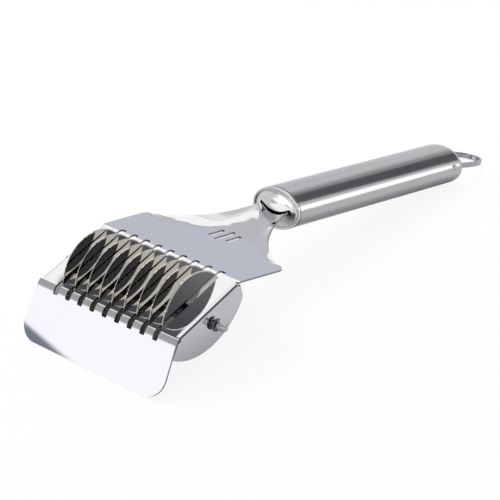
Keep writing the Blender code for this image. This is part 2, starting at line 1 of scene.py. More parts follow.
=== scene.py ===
# %% [markdown]
# # A hand-held roller cutter for noodles
#
# The real tool is made of stainless sheet and tube. A slotted frame, folded from one sheet,
# carries a roller of nine disc blades. The frame's neck goes into the capped end of an oval
# tube handle, and a bent strip at the far end is there to hang it by. Here it lies on its back.
#
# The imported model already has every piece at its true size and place. This lesson keeps those
# sizes and builds each piece again with finer curves, eased edges and worked steel finishes.
# Lengths are in metres.

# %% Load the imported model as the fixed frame
import math

import bmesh
import bpy
from mathutils import Matrix, Vector
from mathutils.geometry import interpolate_bezier


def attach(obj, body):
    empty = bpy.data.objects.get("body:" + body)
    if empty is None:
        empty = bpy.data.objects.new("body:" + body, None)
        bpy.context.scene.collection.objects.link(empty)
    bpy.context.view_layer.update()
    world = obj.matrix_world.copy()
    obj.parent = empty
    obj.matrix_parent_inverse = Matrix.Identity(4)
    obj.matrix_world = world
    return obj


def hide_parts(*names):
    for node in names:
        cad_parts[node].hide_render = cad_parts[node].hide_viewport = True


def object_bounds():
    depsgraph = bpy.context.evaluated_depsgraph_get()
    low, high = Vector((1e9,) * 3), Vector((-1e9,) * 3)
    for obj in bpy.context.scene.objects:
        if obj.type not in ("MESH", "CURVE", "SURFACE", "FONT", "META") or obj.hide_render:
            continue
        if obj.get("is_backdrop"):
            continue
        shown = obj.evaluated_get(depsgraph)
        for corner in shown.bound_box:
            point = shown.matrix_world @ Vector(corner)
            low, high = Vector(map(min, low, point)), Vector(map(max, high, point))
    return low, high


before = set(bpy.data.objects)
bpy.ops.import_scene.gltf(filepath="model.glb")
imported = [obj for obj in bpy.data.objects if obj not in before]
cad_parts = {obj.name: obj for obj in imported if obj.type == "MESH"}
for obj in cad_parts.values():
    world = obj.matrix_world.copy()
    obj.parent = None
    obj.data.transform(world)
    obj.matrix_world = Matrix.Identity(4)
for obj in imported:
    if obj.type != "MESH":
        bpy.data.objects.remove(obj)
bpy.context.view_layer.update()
to_mm = 1000

# %% [markdown]
# Every piece is easiest to describe in its own frame: the sheet in that of its flat bed, the
# tube along its own axis, the roller round its axle. One matrix for each of these carries a
# finished mesh to its place on the table. The tool rests on the apron's lip and on the tail of
# the tube, which is why the bed is tilted.

# %% Frames of the bed, the handle, the loop and the roller
bed_tilt = math.radians(17.224)
bed_origin = Vector((-0.118201, 0, 0.020811))
shoulder_angle = math.radians(26.35)
bed_length = 0.0362179
bed_half_width = 0.0350
axle_x = 0.0189215
axle_drop = 0.0071
neck_length = 0.0620
neck_rise = 0.0044
axis_height = 0.0059
rivet_place = 0.1780
rivet_rise = 0.0023
loop_droop = math.radians(7.1)

shoulder_way = Vector((math.cos(shoulder_angle), 0, -math.sin(shoulder_angle)))
shoulder_normal = Vector((math.sin(shoulder_angle), 0, math.cos(shoulder_angle)))
rear_corner = Vector((bed_length, 0, 0))
axle_centre = Vector((axle_x, 0, -axle_drop))

turn_to_shoulder = Matrix.Rotation(shoulder_angle, 4, "Y")
from_bed = Matrix.Translation(bed_origin) @ Matrix.Rotation(-bed_tilt, 4, "Y")
from_shoulder = from_bed @ Matrix.Translation(rear_corner) @ turn_to_shoulder
from_handle = from_shoulder @ Matrix.Translation((0, 0, axis_height))
from_loop = (from_handle @ Matrix.Translation((rivet_place, 0, rivet_rise))
             @ Matrix.Rotation(loop_droop, 4, "Y"))
from_roller = (from_bed @ Matrix.Translation(axle_centre)
               @ Matrix.Rotation(-math.pi / 2, 4, "X"))
print("axle at", [round(value, 4) for value in from_roller.translation])

# %% [markdown]
# The camera is set before anything is shaped, so that every trial picture can be compared with
# the photograph. Its place and turn were found from the corners of the bed, the slot ends and
# the outline of the tube, so they are plain numbers here.

# %% Camera
def add_object(name, data):
    thing = bpy.data.objects.new(name, data)
    bpy.context.scene.collection.objects.link(thing)
    return thing


lens_mm = 127.542
camera_data = bpy.data.cameras.new("photo_camera")
camera_data.lens = lens_mm
camera_data.sensor_width = 36
camera = add_object("photo_camera", camera_data)
camera.location = (-0.5253266, -0.3994935, 0.336478)
camera_x = Vector((0.6423161, -0.7659957, 0.0260889))
camera_y = Vector((0.3332743, 0.3097918, 0.8904815))
camera_z = Vector((-0.6901871, -0.5632759, 0.454271))
camera.rotation_euler = Matrix((camera_x, camera_y, camera_z)).transposed().to_euler()
bpy.context.scene.camera = camera
print("camera", round(camera.location.length, 3), "m from the origin")

# %% [markdown]
# Node maths is easier to read as a formula than as a list of links. `Wire` stands for one
# output socket, and Python's own operators on it add the Math nodes. `Wiring` holds the node
# tree and makes every other kind of node through one method.

# %% Small helpers for node trees
class Wire:
    """One output socket that can be added, multiplied and so on, like a number."""

    def __init__(self, wiring, socket):
        self.wiring = wiring
        self.socket = socket

    def math(self, operation, *values):
        return self.wiring.node("ShaderNodeMath", values, operation=operation)

    def __add__(self, other):
        return self.math("ADD", self, other)

    def __sub__(self, other):
        return self.math("SUBTRACT", self, other)

    def __rsub__(self, other):
        return self.math("SUBTRACT", other, self)

    def __mul__(self, other):
        return self.math("MULTIPLY", self, other)

    def __abs__(self):
        return self.math("ABSOLUTE", self)

    __radd__ = __add__
    __rmul__ = __mul__


class Wiring:
    """The nodes of one material or world."""

    def __init__(self, owner):
        owner.use_nodes = True
        self.tree = owner.node_tree
        self.tree.nodes.clear()

    def put(self, socket, value):
        """Link a wire to a socket, or write a plain value on it."""
        if isinstance(value, Wire):
            self.tree.links.new(value.socket, socket)
        else:
            socket.default_value = value

    def node(self, kind, values=(), output=0, **settings):
        """Add a node: its settings first, then its inputs by order or by name."""
        node = self.tree.nodes.new(kind)
        for name, value in settings.items():
            setattr(node, name, value)
        pairs = values.items() if isinstance(values, dict) else enumerate(values)
        for key, value in pairs:
            self.put(node.inputs[key], value)
        return Wire(self, node.outputs[output]) if node.outputs else node

    def vector(self, operation, *values, output="Value"):
        return self.node("ShaderNodeVectorMath", values, output, operation=operation)

    def smooth(self, value, low, high):
        """0 below low, 1 above high and a soft step between them."""
        return self.node("ShaderNodeMapRange", {"Value": value, "From Min": low, "From Max": high},
                         interpolation_type="SMOOTHSTEP")

    def mix(self, share, first, second):
        """Blend two colours."""
        return self.node("ShaderNodeMix", {0: share, 6: first, 7: second}, output=2,
                         data_type="RGBA")

    def noise(self, place, scale, detail=2.0):
        return self.node("ShaderNodeTexNoise", {"Vector": place, "Scale": scale, "Detail": detail})


# %% [markdown]
# All the steel here is one metal with different finishing: rolled and polished sheet, a tube
# brushed along its length, blades ground in circles. A finish is therefore one function: a base
# colour, a roughness, and grain that follows the tool marks. A Mapping node turns the object's
# own coordinates into the frame in which the marks were made, so that the grain runs along the
# tube. On the blades it follows the distance from the axle, so that it runs in rings. A second,
# wider noise clouds the polish a little. Where the sheet was sheared or punched, its edge is
# darker and rougher than its faces. Such faces carry an attribute, which is 0 everywhere else.

# %% Steel finishes
cut_attribute = "cut_edge"
cut_colour = (0.38, 0.38, 0.40, 1)
cut_roughness = 0.25
marks_detail = 3.0
marks_share = 0.6
cloud_scale = 35.0
cloud_roughness = 0.3


def steel(name, colour, roughness, grain, frame_matrix, grain_depth, spread=0.35, tint=0.06,
          rings=False):
    """Polished or brushed steel; grain is how often its marks repeat along x, y and z."""
    material = bpy.data.materials.new(name + "_finish")
    wiring = Wiring(material)
    place = wiring.node("ShaderNodeTexCoord", output="Object")
    inverse = frame_matrix.inverted()
    settled = wiring.node("ShaderNodeMapping", {
        "Vector": place, "Location": inverse.translation, "Rotation": inverse.to_euler()})
    followed = settled
    if rings:
        flat = wiring.vector("MULTIPLY", settled, (1, 1, 0), output="Vector")
        followed = wiring.node("ShaderNodeCombineXYZ", {"X": wiring.vector("LENGTH", flat)})
    stretched = wiring.node("ShaderNodeMapping", {"Vector": followed, "Scale": grain})
    marks = wiring.noise(stretched, 1.0, marks_detail)
    clouds = wiring.noise(settled, cloud_scale)
    cut = wiring.node("ShaderNodeAttribute", output="Fac", attribute_name=cut_attribute)
    rough = roughness * (1 - spread / 2 + spread * marks + cloud_roughness * (clouds - 0.5))
    rough = rough + cut * cut_roughness
    dark = tuple(value * (1 - tint) for value in colour)
    pattern = marks_share * marks + (1 - marks_share) * clouds
    shade = wiring.mix(pattern, (*dark, 1), (*colour, 1))
    shade = wiring.mix(cut, shade, cut_colour)
    bump = wiring.node("ShaderNodeBump", {"Strength": 1.0, "Distance": grain_depth,
                                          "Height": marks})
    shader = wiring.node("ShaderNodeBsdfPrincipled", {
        "Base Color": shade, "Metallic": 1.0, "Roughness": rough, "Normal": bump})
    wiring.node("ShaderNodeOutputMaterial", {"Surface": shader})
    print("finish", name, "roughness about", roughness)
    return material


polished_sheet = steel("polished_sheet", (0.80, 0.80, 0.82), 0.018, (30, 900, 900), from_bed,
                       0.0000001)
polished_cap = steel("polished_cap", (0.89, 0.89, 0.89), 0.11, (700, 250, 250), from_handle,
                     0.0000003)
brushed_tube = steel("brushed_tube", (0.70, 0.70, 0.71), 0.14, (25, 2600, 2600), from_handle,
                     0.0000015, tint=0.14)
polished_strip = steel("polished_strip", (0.52, 0.52, 0.54), 0.10, (200, 900, 900), from_loop,
                       0.0000005)
ground_blade = steel("ground_blade", (0.72, 0.695, 0.655), 0.02, (3000, 1, 1), from_roller,
                     0.0, tint=0.05, rings=True)
turned_steel = steel("turned_steel", (0.60, 0.60, 0.62), 0.18, (150, 150, 3000), from_roller,
                     0.0000010)
spring_steel = steel("spring_steel", (0.16, 0.16, 0.17), 0.18, (900, 900, 900), from_roller,
                     0.0000010)

# %% [markdown]
# Each mesh is shaped in its own frame and then handed over in the same way: doubled vertices
# are merged, the faces are turned outwards, the matrix of its frame puts it on the table, and
# its modifiers are applied. The object itself stays at the origin. Then it is put on the moving
# body it rides on and gets its finish, and the nodes of the imported model that it stands for are
# hidden.

# %% Handing a finished piece over
def only(kind, items):
    """What is of one kind, BMVert, BMEdge or BMFace, among the items a bmesh call gives back."""
    return [item for item in items if isinstance(item, getattr(bmesh.types, kind))]


def tidy(bm, merge=1e-6):
    bmesh.ops.remove_doubles(bm, verts=bm.verts, dist=merge)
    bmesh.ops.recalc_face_normals(bm, faces=bm.faces)


def make_object(name, bm, place):
    bmesh.ops.transform(bm, matrix=place, verts=bm.verts)
    mesh = bpy.data.meshes.new(name)
    bm.to_mesh(mesh)
    bm.free()
    return add_object(name, mesh)


def ease_edges(thing, width, segments=2, angle=math.radians(40), material=-1):
    bevel = thing.modifiers.new("eased_edges", "BEVEL")
    bevel.width = width
    bevel.segments = segments
    bevel.limit_method = "ANGLE"
    bevel.angle_limit = angle
    bevel.harden_normals = True
    bevel.material = material


def thicken(thing, thickness):
    """Give a sheet its thickness; the faces of its rim get the next material index."""
    wall = thing.modifiers.new("sheet_thickness", "SOLIDIFY")
    wall.thickness = thickness
    wall.offset = -1
    wall.use_even_offset = True
    wall.material_offset_rim = 1


def cut_out(thing, cutter):
    step = thing.modifiers.new("cut_out", "BOOLEAN")
    step.operation = "DIFFERENCE"
    step.solver = "EXACT"
    step.object = cutter


def apply_modifiers(thing):
    """Make what the modifiers show the object's own mesh."""
    graph = bpy.context.evaluated_depsgraph_get()
    mesh = bpy.data.meshes.new_from_object(thing.evaluated_get(graph))
    thing.modifiers.clear()
    old, thing.data = thing.data, mesh
    bpy.data.meshes.remove(old)


def mark_cut_faces(thing):
    """Keep the material index of each face as an attribute, and set the index back to 0."""
    faces = thing.data.polygons
    cut = [min(face.material_index, 1) for face in faces]
    thing.data.attributes.new(cut_attribute, "FLOAT", "FACE").data.foreach_set("value", cut)
    faces.foreach_set("material_index", [0] * len(faces))
    print(thing.name, "has", sum(cut), "cut faces of", len(cut))


def hand_over(thing, finish, body, nodes, sharp=math.radians(35)):
    """Smooth a finished piece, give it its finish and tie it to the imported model."""
    thing.data.shade_smooth()
    thing.data.set_sharp_from_angle(angle=sharp)
    if thing.modifiers:
        apply_modifiers(thing)
    mark_cut_faces(thing)
    thing.data.materials.clear()
    thing.data.materials.append(finish)
    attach(thing, body)
    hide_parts(*nodes)
    thing.data.calc_loop_triangles()
    print(thing.name, len(thing.data.loop_triangles), "triangles")
    return thing


# %% [markdown]
# ## The slotted frame
#
# The frame starts as a flat blank that is pressed and folded. A grid does the same job: its
# rows run across the sheet and its columns along it. The columns are laid on the edges of the
# nine slots, so that a slot is made by leaving faces out, and no cut has to be cleaned up
# afterwards. Two more columns in each slot round its corners.

# %% Columns of the blank, by their place across the bed
blade_count = 9
blade_pitch = 0.0063
slot_half_width = 0.0012
slot_corner = 0.0005
slot_steps = 3
outer_column = (blade_count - 1) / 2 * blade_pitch + slot_half_width
between_slots = (0.33, 0.67)
outer_steps = (0.0012, 0.0028, 0.0044, 0.0058, 0.0068, 0.0076, 0.0082)

slot_middles = [(number - (blade_count - 1) / 2) * blade_pitch for number in range(blade_count)]
gap = blade_pitch - 2 * slot_half_width
columns = []
for middle in slot_middles:
    columns += [middle - slot_half_width, middle - slot_half_width + slot_corner,
                middle + slot_half_width - slot_corner, middle + slot_half_width]
    if middle < slot_middles[-1]:
        columns += [middle + slot_half_width + gap * share for share in between_slots]
columns = ([-bed_half_width] + [-outer_column - step for step in reversed(outer_steps)] + columns
           + [outer_column + step for step in outer_steps] + [bed_half_width])
print(len(columns), "columns")

# %% [markdown]
# Each row of the blank knows where its middle lies, which way the sheet faces there, how wide
# it is, and how far down the neck it is. The rows go round the apron's rounded corners, round
# the two folds as true arcs, and along the pointed wings and the neck on one Bezier curve.

# %% Rows of the blank
apron_angle = math.radians(45)
apron_length = 0.0231
apron_flare = 0.0008
apron_corner_radius = 0.0078
front_fold_radius = 0.0025
rear_fold_radius = 0.0030
slot_reach_apron = 0.0031
slot_reach_shoulder = 0.0021
ear_fold_radius = 0.0016
ear_fold_relief = 0.0008
wing_flare = 0.0008
wing_length = 0.0253
wing_corner_radius = 0.0030
tang_half_width = 0.0070
tang_length = 0.0100
fold_steps = 12
corner_steps = 10
edge_steps = 36
apron_stops = (0.0120, 0.0085, 0.0055)
wing_stops = (0.0050, 0.0090, 0.0130, 0.0165, 0.0195)
tang_stops = (0.3, 1)
wing_pull = Vector((0.0042, -0.0113, 0))
neck_pull = Vector((-0.0180, 0.0020, 0))

apron_way = Vector((-math.cos(apron_angle), 0, -math.sin(apron_angle)))
apron_normal = Vector((-math.sin(apron_angle), 0, math.cos(apron_angle)))
bed_way = Vector((1, 0, 0))
bed_normal = Vector((0, 0, 1))


def quarter_turn(steps):
    return [math.pi / 2 * step / steps for step in range(steps + 1)]


def fold_rows(corner, way_in, way_out, radius):
    """Rows round a fold whose outer face has this radius."""
    angle = way_in.angle(way_out)
    turn_axis = way_in.cross(way_out).normalized()
    start = corner - way_in * radius * math.tan(angle / 2)
    normal = Vector((-way_in.z, 0, way_in.x))
    centre = start - normal * radius
    rows = []
    for step in range(fold_steps + 1):
        turned = Matrix.Rotation(angle * step / fold_steps, 3, turn_axis) @ normal
        rows.append((centre + turned * radius, turned, bed_half_width, 0))
    return rows


def apron_rows():
    """Rows from the apron's lip up to the fold, with one at each end of the slots' corners."""
    straight = apron_length - apron_corner_radius
    lip_half_width = bed_half_width + apron_flare
    fold_start = front_fold_radius * math.tan(apron_angle / 2)
    rows = []
    for angle in quarter_turn(corner_steps):
        rows.append((straight + apron_corner_radius * math.cos(angle),
                     lip_half_width - apron_corner_radius * (1 - math.sin(angle))))
    for distance in apron_stops + (slot_reach_apron, slot_reach_apron - slot_corner):
        share = (distance - fold_start) / (straight - fold_start)
        rows.append((distance, bed_half_width + apron_flare * share))
    return [(apron_way * distance, apron_normal, half_width, 0) for distance, half_width in rows]


def shoulder_rows():
    """Rows from the rear fold over the wings and the neck to the end of the tang."""
    corner_centre = wing_length - wing_corner_radius
    wing_half_width = bed_half_width + wing_flare
    rows = []
    for along in (slot_reach_shoulder - slot_corner, slot_reach_shoulder) + wing_stops:
        rows.append((along, bed_half_width + wing_flare * along / corner_centre))
    for angle in quarter_turn(corner_steps):
        rows.append((corner_centre + wing_corner_radius * math.sin(angle),
                     wing_half_width - wing_corner_radius * (1 - math.cos(angle))))
    tip = Vector((wing_length, wing_half_width - wing_corner_radius, 0))
    neck = Vector((neck_length, tang_half_width, 0))
    curve = interpolate_bezier(tip, tip + wing_pull, neck + neck_pull, neck, edge_steps + 1)
    rows += [(point.x, point.y) for point in curve[1:]]
    rows += [(neck_length + tang_length * share, tang_half_width) for share in tang_stops]
    return [(rear_corner + shoulder_way * along, shoulder_normal, half_width, along)
            for along, half_width in rows]


# %% [markdown]
# An ear is folded down along each side of the bed, and its free edge is one arc with a rounded
# rear corner. Its outline also says how many rows the bed needs: one for each of its points.

# %% Outline of an ear and the rows of the bed
sheet = 0.0008
running_gap = 0.0005
ear_below_axle = 0.0083
ear_arc_radius = 0.0275
ear_arc_lead = 0.0026
ear_corner_radius = 0.0040
ear_end_inset = 0.0004
ear_arc_steps = 26
ear_fold_steps = 8


def arc(centre, radius, start, end, steps):
    turns = [start + (end - start) * step / steps for step in range(steps + 1)]
    return [(centre[0] + radius * math.cos(turn), centre[1] + radius * math.sin(turn))
            for turn in turns]


def ear_outline():
    """Free edge (x, z) of an ear from the back of the apron to its rear end."""
    ear_depth = axle_drop + ear_below_axle
    centre = Vector((axle_x - ear_arc_lead, ear_arc_radius - ear_depth))
    along_apron = Vector((apron_way.x, apron_way.z))
    back_of_apron = Vector(((sheet + running_gap) / math.sin(apron_angle), 0))
    offset = back_of_apron - centre
    reach = offset.dot(along_apron)
    to_arc = -reach + math.sqrt(reach ** 2 - offset.length_squared + ear_arc_radius ** 2)
    top = back_of_apron + along_apron * (ear_fold_radius / math.sin(apron_angle))
    front = back_of_apron + along_apron * to_arc
    back = bed_length - ear_end_inset
    corner_x = back - ear_corner_radius
    inner_radius = ear_arc_radius - ear_corner_radius
    corner = Vector((corner_x, centre.y - math.sqrt(inner_radius ** 2
                                                    - (corner_x - centre.x) ** 2)))
    start = math.atan2(front.y - centre.y, front.x - centre.x)
    end = math.atan2(corner.y - centre.y, corner.x - centre.x)
    points = [tuple(top)]
    points += arc(centre, ear_arc_radius, start, end, ear_arc_steps)
    points += arc(corner, ear_corner_radius, end, 0, corner_steps)[1:]
    points.append((back, -ear_fold_radius))
    return points


def bed_rows():
    first = front_fold_radius * math.tan(apron_angle / 2) + ear_fold_relief
    last = bed_length - rear_fold_radius * math.tan(shoulder_angle / 2) - ear_fold_relief
    count = len(ear_outline()) - 1
    return [(bed_way * (first + (last - first) * step / count), bed_normal,
             bed_half_width - ear_fold_radius, 0) for step in range(count + 1)]


rows = apron_rows()
slot_start_row = len(rows) - 2
rows += fold_rows(Vector((0, 0, 0)), -apron_way, bed_way, front_fold_radius)
first_bed_row = len(rows)
rows += bed_rows()
last_bed_row = len(rows) - 1
rows += fold_rows(rear_corner, bed_way, shoulder_way, rear_fold_radius)
slot_end_row = len(rows) + 1
rows += shoulder_rows()
print(len(rows), "rows; slots from row", slot_start_row, "to row", slot_end_row)

# %% [markdown]
# The neck is not flat. Towards the handle its middle rises and its edges turn up, so that it
# ends as a shallow cup. One height function gives that press: how far the sheet stands above
# the plane of the shoulder, from the place along the neck and the share of the half width. The
# crease where an edge turns up takes one path on the left and another on the right.

# %% Press of the neck
neck_cup = 0.0023
flange_start = 0.0232
rise_start = 0.0340
neck_crease = ((0.0500, 0.72), (0.0530, 0.72), (0.0615, 0.42))
left_crease = ((0.0270, 0.45), (0.0340, 0.56)) + neck_crease
right_crease = ((0.0300, 0.80), (0.0400, 0.66)) + neck_crease
crease_softness = ((0.0270, 0.05), (0.0450, 0.13), (0.0620, 0.30))


def ramp(value, start, end):
    share = min(max((value - start) / (end - start), 0), 1)
    return share * share * (3 - 2 * share)


def between(value, stops):
    """Follow (place, height) stops with soft steps from each to the next."""
    height = stops[0][1]
    for (start, low), (end, high) in zip(stops, stops[1:]):
        height += (high - low) * ramp(value, start, end)
    return height


def neck_lift(along, across_share):
    rise = neck_rise * ramp(along, rise_start, neck_length)
    climb = min(max((along - flange_start) / (neck_length - flange_start), 0), 1)
    edge = (neck_rise + neck_cup) * climb
    crease = between(along, left_crease if across_share > 0 else right_crease)
    softness = between(along, crease_softness)

    def bent(share):
        return math.hypot(share - crease, softness) + share - crease

    flange = (bent(abs(across_share)) - bent(0)) / (bent(1) - bent(0))
    return rise + (edge - rise) * flange


print("neck's middle rises", neck_lift(neck_length, 0), "and its edges", neck_lift(neck_length, 1))

# %% [markdown]
# Now the blank is laid out, pressed, slotted and folded, in that order, as in the workshop. The
# ears are folded down with a quarter spin about the fold's own axis, and the last edge is drawn
# out to the outline.

# %% Lay out the blank and press it
def narrowed(column, half_width):
    """Place across the bed of a column, where the sheet is drawn in for the ears."""
    room = (half_width - outer_column) / (bed_half_width - outer_column)
    inside = min(abs(column), outer_column)
    return math.copysign(inside + (abs(column) - inside) * room, column)


def press(row, column):
    origin, normal, half_width, along = row
    share = column / bed_half_width
    if first_bed_row <= rows.index(row) <= last_bed_row:
        across = narrowed(column, half_width)
    else:
        across = half_width * share
    return origin + normal * neck_lift(along, share) + Vector((0, across, 0))


blank = bmesh.new()
bmesh.ops.create_grid(blank, x_segments=len(rows) - 1, y_segments=len(columns) - 1, size=1)
sheet_point = {}
for vertex in blank.verts:
    row_number = round((vertex.co.x + 1) / 2 * (len(rows) - 1))
    column_number = round((vertex.co.y + 1) / 2 * (len(columns) - 1))
    sheet_point[row_number, column_number] = vertex
for (row_number, column_number), vertex in sheet_point.items():
    vertex.co = press(rows[row_number], columns[column_number])
print(len(blank.faces), "faces in the blank")

# %% Cut the nine slots and round their corners
slot_faces = []
for middle in slot_middles:
    left = min(range(len(columns)), key=lambda c: abs(columns[c] - middle + slot_half_width))
    for row_number in range(slot_start_row, slot_end_row):
        for column_number in range(left, left + slot_steps):
            corners = [sheet_point[row_number + i, column_number + j]
                       for i, j in ((0, 0), (1, 0), (1, 1), (0, 1))]
            slot_faces.append(blank.faces.get(corners))
    pull = slot_corner * (1 - math.sqrt(0.5))
    for column_number, side in ((left, 1), (left + slot_steps, -1)):
        for row_number, way in ((slot_start_row, apron_way), (slot_end_row, shoulder_way)):
            vertex = sheet_point[row_number, column_number]
            vertex.co += Vector((0, side * pull, 0)) - way * pull
bmesh.ops.delete(blank, geom=slot_faces, context="FACES")
print(len(slot_faces), "faces left out for the slots")

# %% Fold both ears down
for column_number, side in ((0, -1), (len(columns) - 1, 1)):
    line = [sheet_point[row_number, column_number]
            for row_number in range(first_bed_row, last_bed_row + 1)]
    edges = [blank.edges.get(pair) for pair in zip(line, line[1:])]
    hinge = Vector((0, side * (bed_half_width - ear_fold_radius), -ear_fold_radius))
    folded = bmesh.ops.spin(blank, geom=edges, cent=hinge, axis=(side, 0, 0),
                            angle=-math.pi / 2, steps=ear_fold_steps)
    drawn = bmesh.ops.extrude_edge_only(blank, edges=only("BMEdge", folded["geom_last"]))
    rim = sorted(only("BMVert", drawn["geom"]), key=lambda vertex: vertex.co.x)
    for vertex, (x, z) in zip(rim, ear_outline()):
        vertex.co = (x, side * bed_half_width, z)
bmesh.ops.recalc_face_normals(blank, faces=blank.faces)
between_blades = Vector((axle_x, 0.003, 0))
bed_face = min(blank.faces, key=lambda face: (face.calc_center_median() - between_blades).length)
if bed_face.normal.z < 0:
    bmesh.ops.reverse_faces(blank, faces=blank.faces)
print(len(blank.faces), "faces after folding")

# %% [markdown]
# The three decorative slots and the two bores for the axle are punched through the finished
# sheet. They are cut with a Boolean, because they don't follow the grid: one cutter holds the
# three round-ended bars and the long bar through both ears.

# %% Punches for the decorative slots and the bores
vent_half_width = 0.0009
vent_pitch = 0.0043
vents = ((-1, 0.0278, 0.0370), (0, 0.0262, 0.0384), (1, 0.0278, 0.0370))
bore_radius = 0.0018
punch_height = 0.0120
punch_segments = 32
cut_edge_round = 0.00038


def round_bar(bm, radius, length, place):
    """Add a round bar across the tool, with its middle at a place."""
    bmesh.ops.create_cone(bm, cap_ends=True, segments=punch_segments, radius1=radius,
                          radius2=radius, depth=length,
                          matrix=place @ Matrix.Rotation(math.pi / 2, 4, "X"))


punch = bmesh.new()
for number, start, end in vents:
    bar = bmesh.new()
    length = end - start
    bmesh.ops.create_circle(bar, cap_ends=True, segments=punch_segments, radius=vent_half_width)
    for vertex in bar.verts:
        stretch = (length / 2 - vent_half_width) * (1 if vertex.co.x > 1e-6 else -1)
        vertex.co += Vector((stretch + (start + end) / 2, number * vent_pitch, -punch_height / 2))
    grown = bmesh.ops.extrude_face_region(bar, geom=bar.faces[:])
    bmesh.ops.translate(bar, verts=only("BMVert", grown["geom"]), vec=(0, 0, punch_height))
    bmesh.ops.transform(bar, matrix=Matrix.Translation(rear_corner) @ turn_to_shoulder,
                        verts=bar.verts)
    bar_mesh = bpy.data.meshes.new("bar")
    bmesh.ops.recalc_face_normals(bar, faces=bar.faces)
    bar.to_mesh(bar_mesh)
    bar.free()
    punch.from_mesh(bar_mesh)
round_bar(punch, bore_radius, 2 * bed_half_width + punch_height, Matrix.Translation(axle_centre))
for face in punch.faces:
    face.material_index = 1
punch_object = make_object("punch", punch, from_bed)

slotted_frame = make_object("slotted_frame_sheet", blank, from_bed)
slotted_frame.data.shade_smooth()
for thing in (punch_object, slotted_frame):
    thing.data.materials.append(polished_sheet)
    thing.data.materials.append(polished_sheet)
thicken(slotted_frame, sheet)
cut_out(slotted_frame, punch_object)
ease_edges(slotted_frame, cut_edge_round, material=1)
hand_over(slotted_frame, polished_sheet, "handle_and_frame", ["slotted_frame"])
bpy.data.objects.remove(punch_object)

# %% [markdown]
# ## The roller
#
# Everything on the roller is round, so each piece is the profile of one side, spun about the
# axle. The blades are thin discs with a blunt rim. Its two edges are bevelled, so that it
# catches the light as a thin bright line.

# %% Spin a profile about the axle
disc_segments = 128
small_segments = 48


def spun(profile, segments, closed=True):
    """Spin a (radius, height) profile a full turn about z; an open one starts and ends on z."""
    bm = bmesh.new()
    points = [bm.verts.new((radius, 0, height)) for radius, height in profile]
    onward = points[1:] + points[:1] if closed else points[1:]
    for first, second in zip(points, onward):
        bm.edges.new((first, second))
    bmesh.ops.spin(bm, geom=bm.verts[:] + bm.edges[:], axis=(0, 0, 1), angle=2 * math.pi,
                   steps=segments, use_merge=True)
    tidy(bm)
    return bm


# %% Nine disc blades
blade_radius = 0.0170
blade_thickness = 0.0006
blade_bevel_width = 0.0004
blade_edge_thickness = 0.0004
blade_sharp_angle = math.radians(5)
roller_shift = 0.00045
seat_gap = 0.0003
blade_seat = 0.0007


def blade_place(number):
    """Place across the roller of a blade; number 1 is the leftmost."""
    return ((blade_count + 1) / 2 - number) * blade_pitch + roller_shift


half_blade = blade_thickness / 2
half_edge = blade_edge_thickness / 2
bevel_start = blade_radius - blade_bevel_width
blade_profile = [(bevel_start, half_blade), (blade_radius, half_edge), (blade_radius, -half_edge),
                 (bevel_start, -half_blade), (bore_radius, -half_blade), (bore_radius, half_blade)]
for number in range(1, blade_count + 1):
    disc = spun(blade_profile, disc_segments)
    place = from_roller @ Matrix.Translation((0, 0, blade_place(number)))
    blade = make_object("ground_disc_%d" % number, disc, place)
    hand_over(blade, ground_blade, "blade_roller", ["blade_%d" % number], blade_sharp_angle)

# %% [markdown]
# Sleeves keep the blades apart, and one longer sleeve at each end fills the space to the ear.
# The axle is a rod with rounded ends and a groove for each snap ring.

# %% Sleeves, axle and snap rings
spacer_radius = 0.0040
axle_radius = 0.0015
axle_end_round = 0.0008
axle_tip_steps = 5
axle_standout = 0.0058
clip_radius = 0.0026
clip_thickness = 0.0006
clip_groove_depth = 0.0004
clip_standoff = 0.0010
clip_mouth_angle = math.radians(70)
clip_steps = 40
clip_edge_round = 0.00008
sleeve_round = 0.0002


def sleeve(name, low, high, node):
    """A sleeve between two places along the axle, with a small round on its outer rims."""
    profile = [(spacer_radius - sleeve_round, high), (spacer_radius, high - sleeve_round),
               (spacer_radius, low + sleeve_round), (spacer_radius - sleeve_round, low),
               (bore_radius, low), (bore_radius, high)]
    piece = make_object(name, spun(profile, small_segments), from_roller)
    hand_over(piece, turned_steel, "blade_roller", [node])


for number in range(1, blade_count):
    low = blade_place(number + 1) + blade_seat
    high = blade_place(number) - blade_seat
    sleeve("sleeve_%d" % number, low, high, "spacer_%d" % number)
inside_ear = bed_half_width - sheet - running_gap
sleeve("left_end_sleeve", blade_place(1) + blade_seat, inside_ear, "left_end_spacer")
sleeve("right_end_sleeve", -inside_ear, blade_place(blade_count) - blade_seat,
       "right_end_spacer")

half_length = bed_half_width + axle_standout
groove_place = bed_half_width + clip_standoff + clip_thickness / 2
core = axle_radius - clip_groove_depth
half_groove = clip_thickness / 2 + seat_gap
end = [(0, half_length)] + [
    (axle_radius - axle_end_round * (1 - math.sin(turn)),
     half_length - axle_end_round * (1 - math.cos(turn)))
    for turn in quarter_turn(axle_tip_steps)]
end += [(axle_radius, groove_place + half_groove), (core, groove_place + half_groove),
        (core, groove_place - half_groove), (axle_radius, groove_place - half_groove)]
rod = end + [(radius, -height) for radius, height in reversed(end)]
axle = make_object("axle", spun(rod, small_segments, closed=False), from_roller)
hand_over(axle, turned_steel, "blade_roller", ["axle_rod"])

